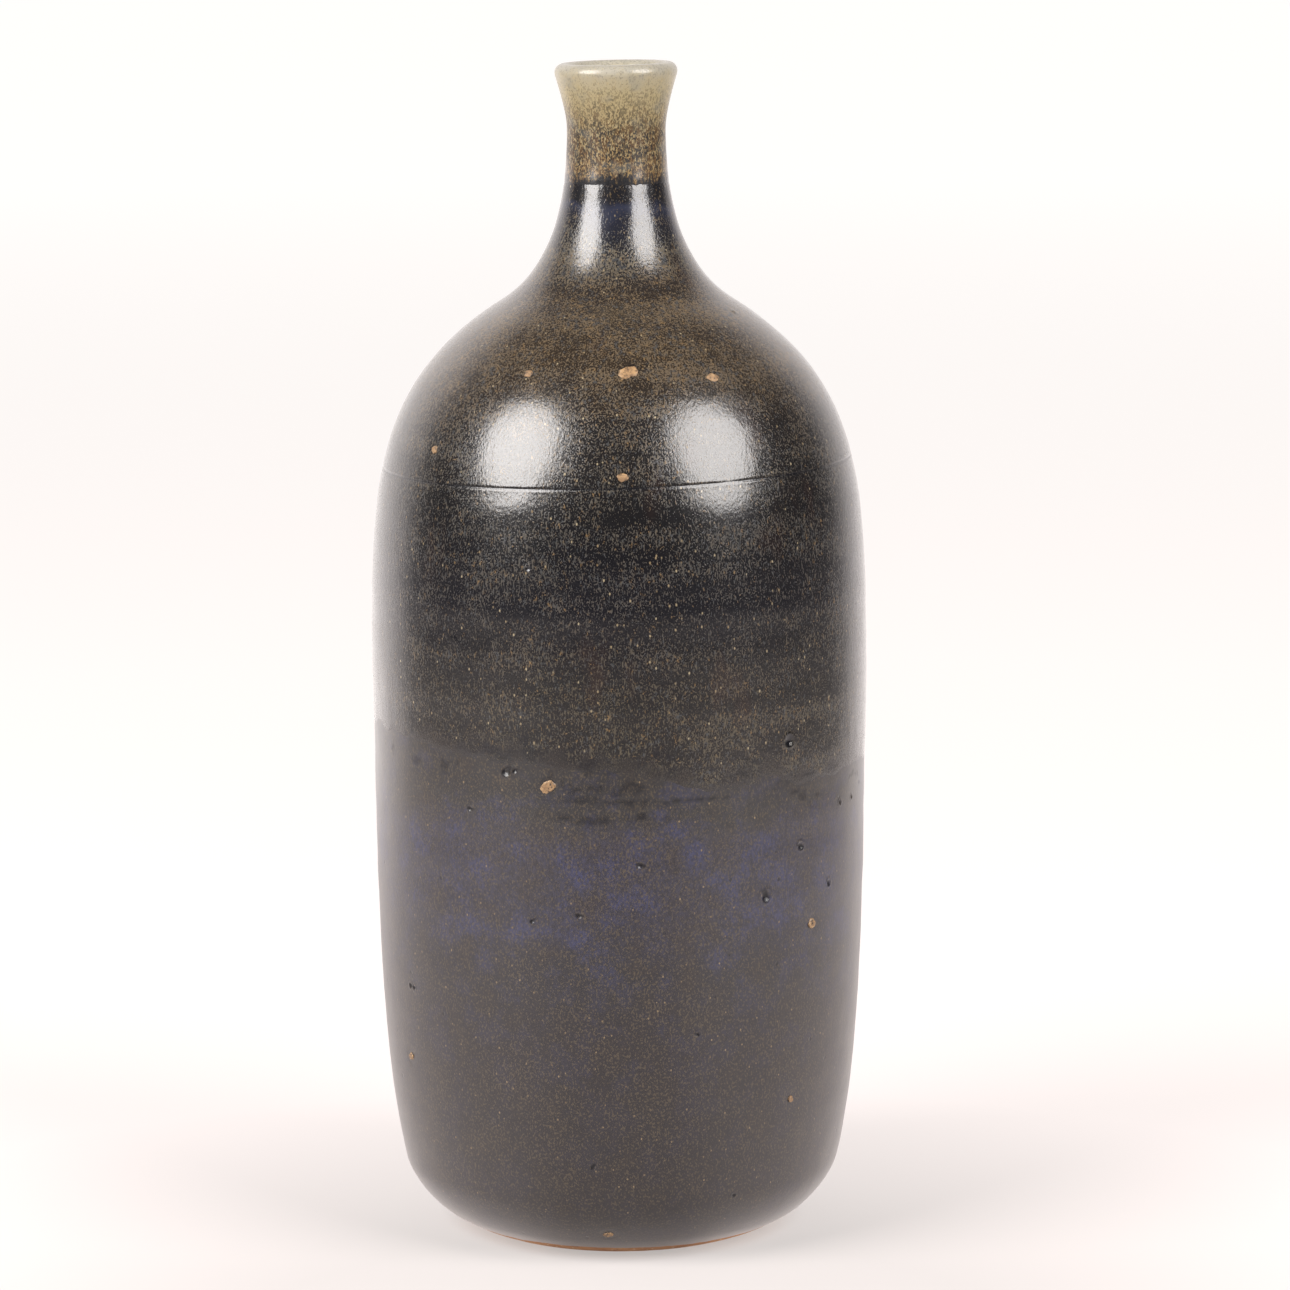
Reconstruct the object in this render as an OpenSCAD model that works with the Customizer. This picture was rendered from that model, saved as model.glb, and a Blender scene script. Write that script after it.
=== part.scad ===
// Stoneware bottle vase: three thrown clay sections joined with slip, under four coats of glaze.
// The origin is the centre of the foot, on the surface that the vase stands on.

/* [Body] */
// Height of the finished vase, lip included
vase_height = 300; // [298:0.5:306]
// Radius of the clay at the widest part of the belly
belly_radius = 62.75; // [58:0.25:66]
// Height of the widest part of the belly
belly_height = 138; // [128:1:146]
// Radius of the clay where the heel turns up into the belly
heel_radius = 55.9; // [53:0.1:57]
// Height at which the heel turns up into the belly
heel_height = 18; // [16:0.5:22]
// Thickness of the thrown wall in the belly and shoulder
wall = 5.5; // [4.5:0.1:6.5]

/* [Foot] */
// Outer radius of the turned foot
foot_radius = 36.6; // [34:0.2:39]
// Width of the ring that the vase rests on
foot_width = 6.5; // [4:0.5:9]
// Depth turned away inside the foot ring
foot_recess = 3.5; // [2:0.5:5]
// Height of the clay floor inside the vase
floor_height = 12; // [10:0.5:14]

/* [Neck] */
// Radius of the clay where the shoulder curve turns over into the neck curve
shoulder_radius = 29.4; // [28:0.2:31]
// Height of that turn
shoulder_height = 239; // [237:0.5:241]
// Radius of the clay at the waist of the neck
waist_radius = 11.8; // [11.4:0.1:12.4]
// Height of the waist of the neck
waist_height = 283; // [280:0.5:285]
// Radius of the glazed throat, which is a true cylinder
throat_radius = 8; // [7.4:0.1:8.4]
// Length of the cylindrical throat
throat_length = 16; // [10:1:17]
// Radius of the clay circle in the middle of the rolled lip
lip_radius = 13.3; // [12.8:0.1:14]
// Half the thickness of the rolled lip, without glaze
lip_roll = 1.55; // [1.3:0.05:1.7]

/* [Joints] */
// Height of the joint between the lower body and the shoulder
body_joint = 199; // [192:1:206]
// Height of the joint between the shoulder and the neck
neck_joint = 250; // [248:0.5:253]
// Depth of the V groove that keys one section into the next
key_depth = 3; // [1.5:0.5:4]
// Share of the wall that the V groove takes
key_share = 0.6; // [0.4:0.05:0.7]
// Thickness of the slip in the joints
slip = 0.6; // [0.4:0.1:1]

/* [Glaze] */
// Thickness of the blue base glaze
base_coat = 0.45; // [0.3:0.05:0.6]
// Thickness of the speckled overglaze
over_coat = 0.4; // [0.3:0.05:0.6]
// Thickness of the pale glaze on the neck
neck_coat = 0.7; // [0.4:0.05:0.8]
// Thickness of the glaze that lines the inside
liner_coat = 0.5; // [0.3:0.05:0.7]
// Height of the bare clay left at the foot
bare_height = 2; // [0.8:0.2:3]
// Height of the lower edge of the overglaze
over_height = 122; // [105:1:135]
// Height over which the overglaze thickens from its lower edge
over_fade = 25; // [10:1:40]
// Height of the lower edge of the neck glaze
neck_line = 270; // [266:0.5:274]
// How far the neck glaze runs down inside the lip
neck_turn = 8; // [6:0.5:10]

/* [Grog] */
// Size of the coarse grog grains, as a share of the usual size
grog_scale = 1; // [0.8:0.1:1.2]
// How far each grain stands proud of the glaze round it
grog_proud = 0.3; // [0.2:0.05:0.4]

/* [Hidden] */
turn_fn = 96;  // facets of a full turn in the preview
grain_fn = 40; // facets round a grain
steps = 14;    // points along each curve of an outline
lip_steps = 8; // points round the lip on each side
near = 0.01;   // points of an outline closer in height than this count as one

// Leans are angles from upright, positive where the wall opens upwards.
upright = 0;
flat = 90;
foot_lean = 75;        // the clay as it leaves the foot
heel_lean = 12.4;      // the clay at the heel
shoulder_lean = -57.5; // the turn from the shoulder into the neck
flare_lean = 16;       // the outside of the flare, where it meets the lip
mouth_lean = 18;       // the inside of the flare, where it meets the lip

// The lip and the throat hang from the height of the vase.
lip_height = vase_height - lip_roll - neck_coat;
clay_top = lip_height + lip_roll;
liner_top = clay_top - neck_turn;
lip_drop = 9.75; // from the middle of the lip down to the top of the throat
throat_top = lip_height - lip_drop;
throat_bottom = throat_top - throat_length;
clay_throat = throat_radius + liner_coat;

// The inside of the heel is a wide round corner, and the wall is thicker there.
floor_radius = 30;
floor_rise = 0.6; // how much the floor climbs from its middle to its edge
heel_wall = wall + 1.5;
corner_radius = heel_radius + 2.3 - heel_wall;
corner_height = heel_height + 20;
corner_lean = 7.4;

recess_slope = 0.6; // how far the inside of the foot ring leans
over_edge = 0.35;   // share of its thickness that the overglaze has at its lower edge

// Each coarse grain: [turn in degrees, height, radius]
grains = [[-86, 225.6, 1.9], [-60.3, 223.8, 1.5], [-117.8, 225, 0.9], [-88.8, 201.6, 1.3],
          [-141.8, 205.7, 1.0], [-106.2, 125.2, 1.7], [-39.5, 86, 1.3], [-151.8, 49.5, 1.2],
          [-44.5, 41.1, 0.9], [-93.8, 8.6, 1.2], [24, 216, 1.3], [71, 231, 1.6], [112, 178, 1.2],
          [148, 101, 1.5], [83, 64, 1.1]];

// Outline: each point is [radius, height, normal radius, normal height], and each knot is
// [radius, height, lean, pull below, pull above]. The pulls are the lengths of the curve's
// handles, so a longer pull keeps the curve near the knot's own lean for longer.

function knot_point(knot) = [knot[0], knot[1]];
function knot_way(knot) = [sin(knot[2]), cos(knot[2])];

// A point along the curve from one knot to the next. side is 1 where the open side of the
// clay is away from the axis, and -1 where it is towards it.
function curve_point(from, to, t, side) =
    let (a = knot_point(from), b = a + from[4] * knot_way(from),
         d = knot_point(to), c = d - to[3] * knot_way(to), s = 1 - t,
         place = s * s * s * a + 3 * s * s * t * b + 3 * s * t * t * c + t * t * t * d,
         way = s * s * (b - a) + 2 * s * t * (c - b) + t * t * (d - c))
    [place.x, place.y, side * way.y / norm(way), -side * way.x / norm(way)];

function outline(knots, side) = concat(
    [for (k = [0 : len(knots) - 2], i = [0 : steps - 1])
        curve_point(knots[k], knots[k + 1], i / steps, side)],
    [curve_point(knots[len(knots) - 2], knots[len(knots) - 1], 1, side)]);

// The round of the lip, from just past one angle to the other.
function lip_arc(from, to) =
    [for (i = [1 : lip_steps])
        let (a = from + (to - from) * i / lip_steps)
        [lip_radius + lip_roll * cos(a), lip_height + lip_roll * sin(a), cos(a), sin(a)]];

shoulder_inner = [shoulder_radius - wall * cos(shoulder_lean), shoulder_height + wall * sin(shoulder_lean)];
lip_outer = [lip_radius + lip_roll * cos(flare_lean), lip_height - lip_roll * sin(flare_lean)];
lip_inner = [lip_radius - lip_roll * cos(mouth_lean), lip_height + lip_roll * sin(mouth_lean)];

// The outside of the clay, from the foot up to the top of the lip.
outside = concat(
    outline([[foot_radius, 0, foot_lean, 0, 10.5],
             [heel_radius, heel_height, heel_lean, 4.35, 21],
             [belly_radius, belly_height, upright, 72, 54],
             [shoulder_radius, shoulder_height, shoulder_lean, 40, 9],
             [waist_radius, waist_height, upright, 29, 4],
             [lip_outer.x, lip_outer.y, flare_lean, 5, 0]], 1),
    lip_arc(-flare_lean, 90));

// The inside of the clay, from the middle of the floor up to the top of the lip.
inside = concat(
    outline([[0, floor_height, flat, 0, 10],
             [floor_radius, floor_height + floor_rise, flat - 4, 10, 16],
             [corner_radius, corner_height, corner_lean, 12, 20],
             [belly_radius - wall, belly_height, upright, 50, 50],
             [shoulder_inner.x, shoulder_inner.y, shoulder_lean, 36, 8],
             [clay_throat, throat_bottom, upright, 22, 0]], -1),
    outline([[clay_throat, throat_top, upright, 0, 3],
             [lip_inner.x, lip_inner.y, mouth_lean, 4, 0]], -1),
    lip_arc(180 - mouth_lean, 90));

// The point of a rising outline at a height, worked out between its neighbours.
function at_height(line, height) =
    let (under = [for (k = [0 : len(line) - 2]) if (line[k].y < height && line[k + 1].y >= height) k],
         low = line[under[0]], high = line[under[0] + 1])
    low + (high - low) * (height - low.y) / (high.y - low.y);

function above(line, low) =
    concat([at_height(line, low)], [for (p = line) if (p.y > low + near) p]);
function below(line, high) =
    concat([for (p = line) if (p.y < high - near) p], [at_height(line, high)]);
function stretch(line, low, high) = above(below(line, high), low);
function reversed(line) = [for (i = [len(line) - 1 : -1 : 0]) line[i]];
function bare(line) = [for (p = line) [p[0], p[1]]];
function raised(line, coat) = [for (p = line) [p[0] + coat * p[2], p[1] + coat * p[3]]];

// The overglaze is thin at its lower edge and full a little higher up.
function over_depth(height) =
    over_coat * min(1, over_edge + (1 - over_edge) * max(0, height - over_height) / over_fade);
function over_raised(line) = [for (p = line) raised([p], base_coat + over_depth(p.y))[0]];

// The V groove across the wall at a joint, from the outside to the inside.
function keyed_edge(height) =
    let (outer = at_height(outside, height).x, inner = at_height(inside, height).x,
         half = key_share * (outer - inner) / 2, middle = (outer + inner) / 2)
    [[outer, height], [middle + half, height], [middle, height - key_depth],
     [middle - half, height], [inner, height]];

module turned(points) rotate_extrude($fn = turn_fn) polygon(points);

// A ring of clay between two edges, each a V across the wall.
module thrown(low_edge, low, high, high_edge)
    turned(concat(
        reversed(low_edge),
        bare(stretch(outside, low, high)),
        high_edge,
        reversed(bare(stretch(inside, low, high)))));

module slip_ring(height)
    turned(concat(keyed_edge(height), reversed(keyed_edge(height + slip))));

// A coat on the outside of the clay, from one height to another.
module coat(points, seat) turned(concat(points, reversed(seat)));

// Depth of glaze on the clay at a height.
function glaze_depth(height) = base_coat + (height > over_height ? over_depth(height) : 0);

module grain(turn, height, radius) {
    seat = at_height(outside, height);
    lift = glaze_depth(height) + grog_proud - radius;
    rotate(turn)
        translate([seat[0] + lift * seat[2], 0, seat[1] + lift * seat[3]])
            sphere(r = radius, $fn = grain_fn);
}

module grains_between(low, high)
    for (g = grains)
        if (g[1] > low && g[1] < high)
            grain(g[0], g[1], g[2] * grog_scale);

module lower_body() color("peru") difference() {
    turned(concat(
        bare(below(outside, body_joint)),
        keyed_edge(body_joint),
        reversed(bare(below(inside, body_joint))),
        [[0, foot_recess],
         [foot_radius - foot_width - recess_slope, foot_recess],
         [foot_radius - foot_width, 0]]));
    grains_between(0, body_joint);
}

module body_slip() color("tan") slip_ring(body_joint);

module shoulder() color("peru") difference() {
    thrown(keyed_edge(body_joint + slip), body_joint + slip, neck_joint, keyed_edge(neck_joint));
    grains_between(body_joint, neck_joint);
}

module neck_slip() color("tan") slip_ring(neck_joint);

module neck() color("peru")
    thrown(keyed_edge(neck_joint + slip), neck_joint + slip, clay_top, []);

module base_glaze() color("midnightblue") difference() {
    seat = stretch(outside, bare_height, neck_line);
    coat(raised(seat, base_coat), bare(seat));
    grains_between(bare_height, neck_line);
}

module overglaze() color("darkolivegreen") difference() {
    seat = stretch(outside, over_height, neck_line);
    coat(over_raised(seat), raised(seat, base_coat));
    grains_between(over_height, neck_line);
}

module neck_glaze() color("darkkhaki") {
    outer = above(outside, neck_line);
    inner = reversed(above(inside, liner_top));
    coat(raised(concat(outer, inner), neck_coat), bare(concat(outer, inner)));
}

module liner_glaze() color("slategray")
    coat(raised(below(inside, liner_top), liner_coat), bare(below(inside, liner_top)));

module grog_grains() color("sandybrown") grains_between(0, neck_line);

lower_body();
body_slip();
shoulder();
neck_slip();
neck();
base_glaze();
overglaze();
neck_glaze();
liner_glaze();
grog_grains();
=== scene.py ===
import math
import random

import bmesh
import bpy
from mathutils import Matrix, Vector, noise
from mathutils.geometry import interpolate_bezier


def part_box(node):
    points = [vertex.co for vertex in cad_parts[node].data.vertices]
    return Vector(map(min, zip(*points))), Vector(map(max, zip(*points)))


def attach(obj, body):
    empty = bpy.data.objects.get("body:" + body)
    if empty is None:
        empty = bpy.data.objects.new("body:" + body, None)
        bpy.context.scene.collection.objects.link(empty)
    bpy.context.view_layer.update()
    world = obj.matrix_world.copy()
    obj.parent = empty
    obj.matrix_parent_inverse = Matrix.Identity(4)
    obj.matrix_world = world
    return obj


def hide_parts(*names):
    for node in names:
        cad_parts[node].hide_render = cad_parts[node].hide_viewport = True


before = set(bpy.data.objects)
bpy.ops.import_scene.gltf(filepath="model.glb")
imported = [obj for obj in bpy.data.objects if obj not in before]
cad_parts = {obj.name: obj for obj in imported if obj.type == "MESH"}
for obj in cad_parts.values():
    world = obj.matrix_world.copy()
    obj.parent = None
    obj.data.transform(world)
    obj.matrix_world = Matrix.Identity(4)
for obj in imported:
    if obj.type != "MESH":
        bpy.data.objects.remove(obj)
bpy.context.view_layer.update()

mm = 0.001
scene = bpy.context.scene


def lowest(node):
    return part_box(node)[0].z / mm


def highest(node):
    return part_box(node)[1].z / mm


vaseTop = highest("neck_glaze")
jointHeight = highest("lower_body")
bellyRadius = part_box("lower_body")[1].x / mm
neckLine = highest("base_glaze")

# ---- camera, lights and floor ----

view = {
    "standOff": 1.332,       # from the axis of the vase, in metres
    "eyeHeight": 0.3688,
    "aimHeight": 0.1506,
    "aside": 0.0066,         # the vase stands this far left of the aim
    "lens": 146.5,
    "sensor": 36,
    "roll": -0.3,            # degrees
}


def makeCamera():
    lens = bpy.data.cameras.new("camera")
    lens.lens = view["lens"]
    lens.sensor_width = view["sensor"]
    lens.clip_end = 60
    camera = bpy.data.objects.new("camera", lens)
    place = Vector((view["aside"], -view["standOff"], view["eyeHeight"]))
    aim = Vector((view["aside"], 0, view["aimHeight"]))
    turn = (aim - place).to_track_quat("-Z", "Y").to_matrix().to_4x4()
    roll = Matrix.Rotation(math.radians(view["roll"]), 4, "Z")
    camera.matrix_world = Matrix.Translation(place) @ turn @ roll
    scene.collection.objects.link(camera)
    scene.camera = camera


studio = {
    "boxTurns": [-55, 53],   # degrees from the camera's side
    "boxPowers": [33, 27],
    "boxHeight": 31.5,       # degrees above the floor
    "boxDistance": 1.3,
    "litHeight": 0.16,       # the boxes face a point this far up the axis
    "boxWidth": 0.88,
    "boxLength": 0.96,
    "tableReach": 0.42,      # the light table ends this far in front of the vase
    "floorRadius": 14,
    "shadeMiddle": -0.12,    # the floor is darkest round a point this far in front of the axis
}


def makeSoftboxes():
    middle = Vector((0, 0, studio["litHeight"]))
    for turn, power in zip(studio["boxTurns"], studio["boxPowers"]):
        panel = bpy.data.lights.new("softbox", "AREA")
        panel.shape = "ELLIPSE"
        panel.size = studio["boxWidth"]
        panel.size_y = studio["boxLength"]
        panel.energy = power
        panel.color = (1, 0.965, 0.945)
        side, up = math.radians(turn), math.radians(studio["boxHeight"])
        way = Vector((math.sin(side) * math.cos(up), -math.cos(side) * math.cos(up), math.sin(up)))
        lamp = bpy.data.objects.new("softbox", panel)
        lamp.location = middle + way * studio["boxDistance"]
        lamp.rotation_euler = way.to_track_quat("Z", "Y").to_euler()
        lamp.visible_camera = False
        scene.collection.objects.link(lamp)


# ---- small helpers for shader nodes ----

def swatch(red, green, blue):      # a colour as it reads on screen, 0 to 255
    light = [part / 255 for part in (red, green, blue)]
    return [part / 12.92 if part < 0.04 else ((part + 0.055) / 1.055) ** 2.4 for part in light] + [1.0]


def addNode(tree, kind, feeds, **settings):
    made = tree.nodes.new("ShaderNode" + kind)
    for name, value in settings.items():
        setattr(made, name, value)
    for name, value in feeds.items():
        if isinstance(value, bpy.types.NodeSocket):
            tree.links.new(value, made.inputs[name])
        else:
            made.inputs[name].default_value = value
    return made


def maths(tree, how, first, second=0.0):
    return addNode(tree, "Math", {0: first, 1: second}, operation=how).outputs[0]


def times(tree, first, second):
    return maths(tree, "MULTIPLY", first, second)


def plus(tree, first, second):
    return maths(tree, "ADD", first, second)


def minus(tree, first, second):
    return maths(tree, "SUBTRACT", first, second)


def remap(tree, value, low, high, toLow=0.0, toHigh=1.0):
    feeds = {"Value": value, "From Min": low, "From Max": high, "To Min": toLow, "To Max": toHigh}
    return addNode(tree, "MapRange", feeds, interpolation_type="SMOOTHSTEP").outputs[0]


def blend(tree, share, low, high, how="MIX"):
    feeds = {0: share, 6: low, 7: high}
    return addNode(tree, "Mix", feeds, data_type="RGBA", blend_type=how).outputs[2]


def ramp(tree, value, stops):      # stops are [place, colour]
    made = addNode(tree, "ValToRGB", {0: value})
    bands = made.color_ramp.elements
    while len(bands) < len(stops):
        bands.new(1.0)
    for band, (place, colour) in zip(bands, stops):
        band.position = place
    for band, (place, colour) in zip(bands, stops):
        band.color = colour
    return made.outputs[0]


def byHeight(tree, level, stops):  # stops are [height in millimetres, colour or grey share]
    colours = [[height / vaseTop, shade if isinstance(shade, list) else [shade] * 3 + [1.0]]
               for height, shade in stops]
    return ramp(tree, level, colours)


def cloud(tree, place, size, detail=2.0, rough=0.5):     # size is of its blotches, in millimetres
    feeds = {"Vector": place, "Scale": 1 / (size * mm), "Detail": detail, "Roughness": rough}
    return addNode(tree, "TexNoise", feeds).outputs[0]


def cells(tree, place, size):
    made = addNode(tree, "TexVoronoi", {"Vector": place, "Scale": 1 / (size * mm)})
    parts = addNode(tree, "SeparateColor", {0: made.outputs["Color"]})
    return made.outputs["Distance"], parts.outputs[0], parts.outputs[1]


def stretched(tree, place, upright, shift=0.0):   # makes a pattern longer up the wall
    feeds = {"Vector": place, "Scale": (1, 1, 1 / upright), "Location": (shift, shift, shift)}
    return addNode(tree, "Mapping", feeds).outputs[0]


def bumped(tree, height, depth, strength=1.0, under=None):        # depth in millimetres
    feeds = {"Height": height, "Distance": depth * mm, "Strength": strength}
    if under:
        feeds["Normal"] = under
    return addNode(tree, "Bump", feeds).outputs[0]


def newFinish(name):
    finish = bpy.data.materials.new(name)
    finish.use_nodes = True
    tree = finish.node_tree
    place = tree.nodes.new("ShaderNodeTexCoord").outputs["Object"]
    return finish, tree, tree.nodes["Principled BSDF"], place


def setShader(tree, shader, values):
    for name, value in values.items():
        if isinstance(value, bpy.types.NodeSocket):
            tree.links.new(value, shader.inputs[name])
        else:
            shader.inputs[name].default_value = value


def levelOf(tree, place, wander=0.0, size=14):     # height up the vase, 0 to 1, with uneven bands
    up = addNode(tree, "SeparateXYZ", {0: place}).outputs[2]
    level = maths(tree, "DIVIDE", up, vaseTop * mm)
    drift = minus(tree, cloud(tree, place, size, 3), 0.5)
    return plus(tree, level, times(tree, drift, wander * 2 / vaseTop))


def backdropGlow(tree, right, back):       # dark round the front, bright behind, and wider on the left
    behind = plus(tree, times(tree, back, 0.5), 0.5)
    behind = minus(tree, behind, times(tree, right, 0.055))
    walls = ramp(tree, behind, [[0, [0.05, 0.05, 0.05, 1]], [0.64, [0.07, 0.065, 0.065, 1]],
                                [0.72, [0.30, 0.28, 0.27, 1]], [0.79, [1.0, 0.925, 0.905, 1]],
                                [0.88, [1.3, 1.21, 1.19, 1]], [1.0, [1.12, 1.06, 1.04, 1]]])
    side = blend(tree, remap(tree, right, -0.9, 0.9), [1.12, 1.12, 1.12, 1], [0.78, 0.78, 0.78, 1])
    return blend(tree, 1.0, walls, side, "MULTIPLY")


def surround():
    world = bpy.data.worlds.new("surround")
    world.use_nodes = True
    scene.world = world
    tree = world.node_tree
    glow = tree.nodes["Background"]
    way = tree.nodes.new("ShaderNodeTexCoord").outputs["Generated"]
    parts = addNode(tree, "SeparateXYZ", {0: way})
    walls = backdropGlow(tree, parts.outputs[0], parts.outputs[1])
    overhead = remap(tree, parts.outputs[2], 0.5, 0.85)
    room = blend(tree, overhead, walls, [0.10, 0.10, 0.10, 1])
    seen = tree.nodes.new("ShaderNodeLightPath").outputs["Is Camera Ray"]
    tree.links.new(blend(tree, seen, room, swatch(254, 252, 250)), glow.inputs["Color"])


def floorFinish():
    paper = bpy.data.materials.new("paleFloor")
    paper.use_nodes = True
    tree = paper.node_tree
    tree.nodes.remove(tree.nodes["Principled BSDF"])
    place = tree.nodes.new("ShaderNodeTexCoord").outputs["Object"]
    parts = addNode(tree, "SeparateXYZ", {0: place})
    rays = tree.nodes.new("ShaderNodeLightPath")
    front = -studio["tableReach"]
    reach = remap(tree, parts.outputs[1], front - 0.08, front + 0.04)
    toShade = {0: place, 1: (0, studio["shadeMiddle"], 0)}
    around = addNode(tree, "VectorMath", toShade, operation="DISTANCE").outputs["Value"]
    tint = ramp(tree, times(tree, around, 0.2), [          # a fifth of the distance in metres
        [0.02, [0.43, 0.415, 0.405, 1]], [0.05, [0.71, 0.66, 0.645, 1]], [0.09, [0.76, 0.72, 0.70, 1]],
        [0.20, [0.82, 0.785, 0.765, 1]], [0.75, [0.965, 0.945, 0.925, 1]]])
    table = blend(tree, reach, [0.04, 0.04, 0.04, 1], [0.58, 0.525, 0.51, 1])
    flat = addNode(tree, "VectorMath", {0: place}, operation="NORMALIZE").outputs[0]
    way = addNode(tree, "SeparateXYZ", {0: flat})
    right, back = way.outputs[0], way.outputs[1]
    pale = maths(tree, "MAXIMUM", remap(tree, maths(tree, "ABSOLUTE", right), 0.25, 0.72, 0.68, 1.25),
                 remap(tree, back, -0.1, 0.4))
    table = blend(tree, 1.0, table, pale, "MULTIPLY")
    distance = addNode(tree, "VectorMath", {0: place}, operation="LENGTH").outputs["Value"]
    table = blend(tree, remap(tree, distance, 0.46, 0.72), table, backdropGlow(tree, right, back))
    colour = blend(tree, rays.outputs["Is Camera Ray"], table, tint)
    glow = addNode(tree, "Emission", {"Color": colour})
    sheet = addNode(tree, "BsdfDiffuse", {"Color": [0.26, 0.24, 0.235, 1]})
    both = addNode(tree, "AddShader", {0: glow.outputs[0], 1: sheet.outputs[0]})
    under = tree.nodes.new("ShaderNodeNewGeometry").outputs["Backfacing"]
    clear = tree.nodes.new("ShaderNodeBsdfTransparent").outputs[0]
    seen = addNode(tree, "MixShader", {0: under, 1: both.outputs[0], 2: clear}).outputs[0]
    tree.links.new(seen, tree.nodes["Material Output"].inputs["Surface"])
    return paper


def layFloor(paper):
    shape = bmesh.new()
    bmesh.ops.create_circle(shape, cap_ends=True, segments=96, radius=studio["floorRadius"])
    mesh = bpy.data.meshes.new("floor")
    shape.to_mesh(mesh)
    shape.free()
    mesh.materials.append(paper)
    floor = bpy.data.objects.new("floor", mesh)
    scene.collection.objects.link(floor)


makeCamera()
makeSoftboxes()
surround()
layFloor(floorFinish())
print("camera, lights and floor")

# ---- the thrown form, in millimetres ----

wall = 5.5                         # of the clay
throatRadius = 8.5                 # of the clay, before its liner

# each knot is radius, height, lean from upright in degrees, pull below, pull above
form = {
    "outside": [[36.6, 0, 75, 0, 10.5],
                [55.9, 18, 12.4, 6.6, 21],
                [bellyRadius, 138, 0, 72, 54],
                [29.4, 239, -57.5, 40, 9],
                [11.8, 283, 0, 29, 4]],
    "inside": [[0, 12, 90, 0, 10],
               [30, 12.6, 86, 10, 16],
               [51.2, 38, 7.4, 12, 20],
               [bellyRadius - wall, 138, 0, 50, 50],
               [26.45, 234.4, -57.5, 36, 8],
               [throatRadius, 272, 0, 22, 0]],
    "throatTop": 288,
    "lipRadius": 13.3,       # middle of the rolled lip
    "lipHeight": highest("neck") - 1.55,
    "lipRoll": 1.55,
    "flareLean": 16,         # outside of the flare, where it meets the lip
    "mouthLean": 18,         # inside of the flare
    "lipTilt": 0.22,         # the lip drops this much in 15, from right to left
}


def lipPoint(turn):
    angle = math.radians(turn)
    return Vector((form["lipRadius"] + form["lipRoll"] * math.cos(angle),
                   form["lipHeight"] + form["lipRoll"] * math.sin(angle)))


def lipArc(start, end, count=24):
    return [lipPoint(start + (end - start) * step / count) for step in range(1, count + 1)]


def curve(knots, count=160):       # a fair line through the knots
    line = []
    for low, high in zip(knots, knots[1:]):
        leans = [math.radians(knot[2]) for knot in (low, high)]
        ways = [Vector((math.sin(lean), math.cos(lean))) for lean in leans]
        start, end = Vector(low[:2]), Vector(high[:2])
        span = interpolate_bezier(start, start + ways[0] * low[4], end - ways[1] * high[3], end, count)
        line += [Vector(point[:2]) for point in span[:-1]]
    return line + [Vector(knots[-1][:2])]


def pointAt(line, height):
    for low, high in zip(line, line[1:]):
        if low.y < height <= high.y:
            return low.lerp(high, (height - low.y) / (high.y - low.y))
    return (line[0] if height <= line[0].y else line[-1]).copy()


def between(line, low, high):      # the part of a rising line between two heights
    return [pointAt(line, low)] + [point for point in line if low < point.y < high] + [pointAt(line, high)]


def walk(line, gap):               # the same line with a point every gap
    points, along = [line[0]], gap(line[0].y)
    for low, high in zip(line, line[1:]):
        span = (high - low).length
        while along < span:
            points.append(low.lerp(high, along / span))
            along += gap(points[-1].y)
        along -= span
    if len(points) > 1 and (points[-1] - line[-1]).length < gap(line[-1].y) / 2:
        points.pop()
    return points + [line[-1]]


def facings(points, side=1):       # which way each point of a line faces
    ways = []
    for index in range(len(points)):
        along = points[min(index + 1, len(points) - 1)] - points[max(index - 1, 0)]
        ways.append(Vector((along.y, -along.x)).normalized() * side)
    return ways


def layer(line, gap, depth, share=1.0, side=1):    # points raised off a line, each with its facing
    points = walk(line, gap)
    return [[point + way * (depth(point.y) if callable(depth) else depth), way, share]
            for point, way in zip(points, facings(points, side))]


def smooth(value, low, high):
    share = min(1.0, max(0.0, (value - low) / (high - low)))
    return share * share * (3 - 2 * share)


flare = lipPoint(-form["flareLean"])
mouth = lipPoint(180 - form["mouthLean"])
outside = curve(form["outside"] + [[flare.x, flare.y, form["flareLean"], 5, 0]])
outside += lipArc(-form["flareLean"], 90)
inside = curve(form["inside"])
inside += curve([[throatRadius, form["throatTop"], 0, 0, 3], [mouth.x, mouth.y, form["mouthLean"], 4, 0]])
inside += lipArc(180 - form["mouthLean"], 90)


def spot(turn, height):            # a place on the clay, from its turn in degrees and its height
    point = pointAt(outside, height)
    angle = math.radians(turn)
    return Vector((point.x * math.cos(angle), point.x * math.sin(angle), height))


# ---- what the hands and the kiln left on the surface ----

marks = {
    "ringDepth": 0.1,        # throwing rings
    "ringGap": 7.5,
    "swayDepth": 0.1,        # out of round
    "swaySize": 45,
    "peelDepth": 0.022,      # orange peel of the glaze
    "peelSize": 4.5,
    "seamTilt": 1.4,         # the joint line is this much above its middle on the right, and below on the left
    "seamDepth": 0.16,
    "seamWidth": 0.26,
    "seamLip": 0.02,         # the edge under the joint line
    "pitLip": 0.07,          # the rim round a pit
    "moat": 0.14,            # the dip round a crumb
    "room": 0.13,            # taken off every outer coat, so that the relief stays inside the form
    "pitReach": 1.9,         # the mesh is finer out to this many radii of a pit
}

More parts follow.
